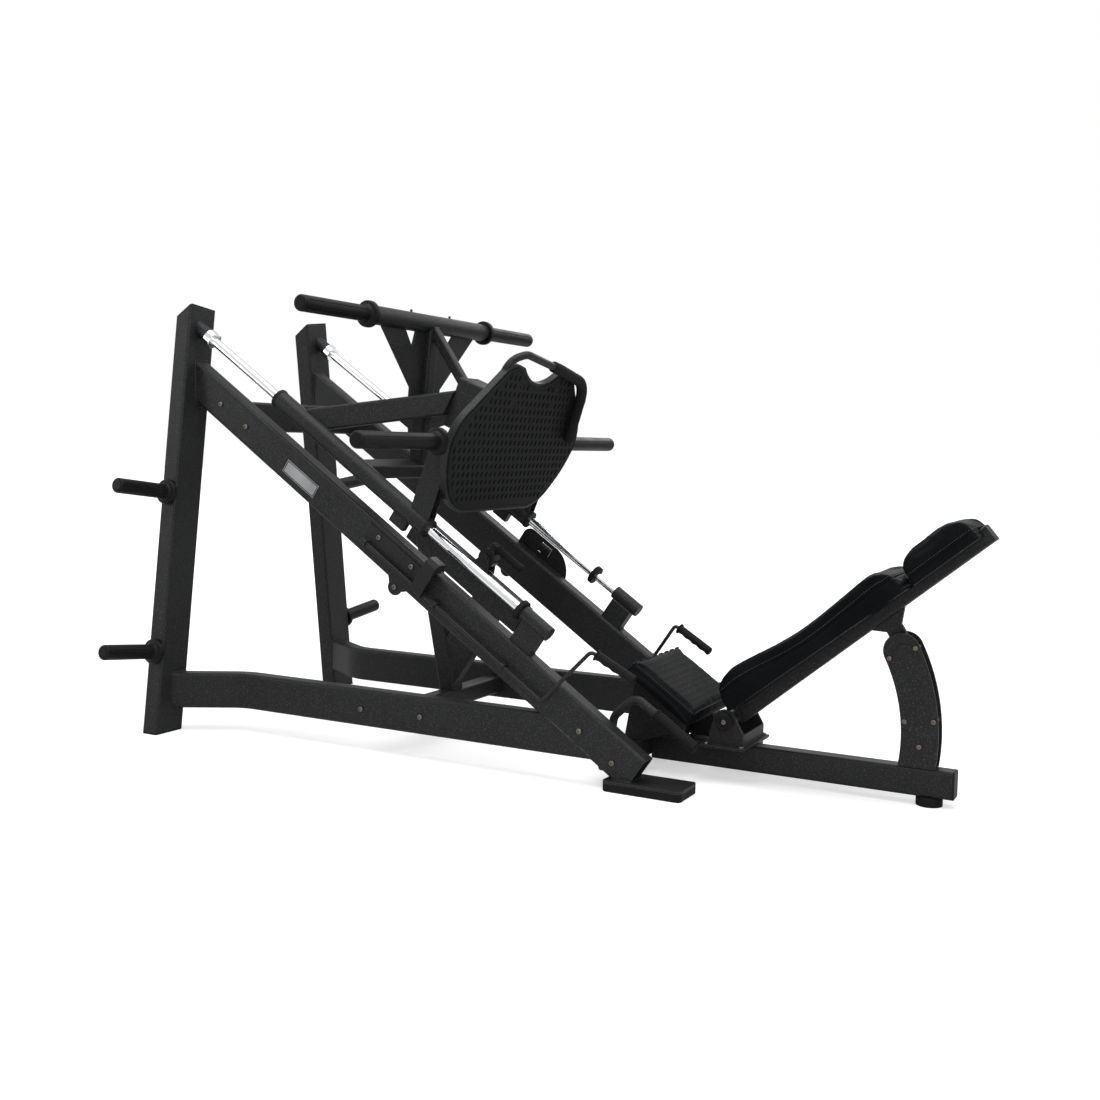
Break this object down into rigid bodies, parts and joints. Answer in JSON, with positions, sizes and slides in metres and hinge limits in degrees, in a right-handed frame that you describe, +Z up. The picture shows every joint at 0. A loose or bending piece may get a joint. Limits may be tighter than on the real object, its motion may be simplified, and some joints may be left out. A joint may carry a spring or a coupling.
{
  "type": "leg press machine",
  "caption": "Inclined plate-loaded leg press: a carriage with foot plate and plate horns runs on two guide rods towards a low seat with adjustable back rest.",
  "frame": {"origin": "middle of the overall box, on the floor", "axes": "+X from the posts towards the back rest, -Y side called left and +Y side called right in the node names, +Z up"},
  "size_m": [2.6498, 1.596, 1.4506],
  "materials": {
    "black_paint": "fine-textured powder coat",
    "lever_steel": "smooth black, satin",
    "chrome": "polished hard chrome",
    "bright_steel": "ground",
    "zinc": "yellowish zinc plating",
    "badge": "brushed, blank",
    "black_plastic": "moulded, matt",
    "horn_plastic": "moulded, semi-gloss",
    "black_rubber": "matt",
    "mat_rubber": "embossed, matt",
    "foam": "closed-cell foam",
    "upholstery": "grained vinyl with piping"
  },
  "bodies": {
    "frame": {"left_post": "black_paint", "right_post": "black_paint", "left_rail": "black_paint", "right_rail": "black_paint", "left_base_rail": "black_paint", "right_base_rail": "black_paint", "front_foot_plates": "black_paint", "cross_members": "black_paint", "centre_stand": "black_paint", "centre_beam": "black_paint", "storage_horns": "black_paint", "stop_bracket": "black_paint", "seat_frame": "black_paint", "seat_handles": "black_paint", "backrest_bracket": "black_paint", "arc_plates": "black_paint", "side_guard": "black_paint", "release_brackets": "black_paint", "rod_sockets": "black_paint", "guide_rods": "chrome", "shaft_collars": "chrome", "backrest_axle": "bright_steel", "frame_bolts": "zinc", "name_plates": "badge", "tube_caps": "black_plastic", "axle_caps": "black_plastic", "storage_sleeves": "horn_plastic", "front_foot_pads": "black_rubber", "beam_foot": "black_rubber", "rod_bumpers": "black_rubber", "seat_handle_grips": "black_rubber", "seat_pad": "upholstery"},
    "carriage": {"bearing_housings": "black_paint", "carriage_arms": "black_paint", "carriage_cross_tube": "black_paint", "carriage_struts": "black_paint", "foot_plate_bracket": "black_paint", "foot_plate": "black_paint", "foot_plate_handle": "black_paint", "horn_mast": "black_paint", "mast_gussets": "black_paint", "mast_brace": "black_paint", "top_horn_bar": "black_paint", "side_horn_bar": "black_paint", "linear_bushings": "bright_steel", "rod_wipers": "black_plastic", "horn_sleeves": "horn_plastic", "foot_mat": "mat_rubber", "foot_plate_grip": "foam"},
    "left_lever": {"left_release_lever": "lever_steel", "left_release_grip": "black_rubber"},
    "right_lever": {"right_release_lever": "lever_steel", "right_release_grip": "black_rubber"},
    "stop": {"stop_lever": "lever_steel", "stop_grip": "black_rubber"},
    "backrest": {"backrest_tube": "black_paint", "adjuster_arm": "black_paint", "back_pad": "upholstery", "head_pad": "upholstery"},
    "adjuster": {"adjuster_pin": "bright_steel"}
  },
  "joints": [
    {"name": "carriage_slide", "type": "slide", "parent": "frame", "child": "carriage", "axis": [0.8261, 0, -0.5635], "range_m": [-0.33, 0.3]},
    {"name": "left_lever_turn", "type": "hinge", "parent": "frame", "child": "left_lever", "pos_m": [-0.24964, -0.362, 0.49156], "axis": [0.8261, 0, -0.5635], "range_deg": [-12, 15]},
    {"name": "right_lever_turn", "type": "hinge", "parent": "frame", "child": "right_lever", "pos_m": [-0.24964, 0.362, 0.49156], "axis": [-0.8261, 0, 0.5635], "range_deg": [-12, 15]},
    {"name": "stop_turn", "type": "hinge", "parent": "frame", "child": "stop", "pos_m": [-0.28105, 0, 0.61588], "axis": [0, -1, 0], "range_deg": [0, 25]},
    {"name": "backrest_hinge", "type": "hinge", "parent": "frame", "child": "backrest", "pos_m": [0.59455, 0, 0.185], "axis": [0, -1, 0], "range_deg": [0, 20]},
    {"name": "adjuster_pin_slide", "type": "slide", "parent": "frame", "child": "adjuster", "axis": [0, -1, 0], "range_m": [0, 0.016]}
  ]
}
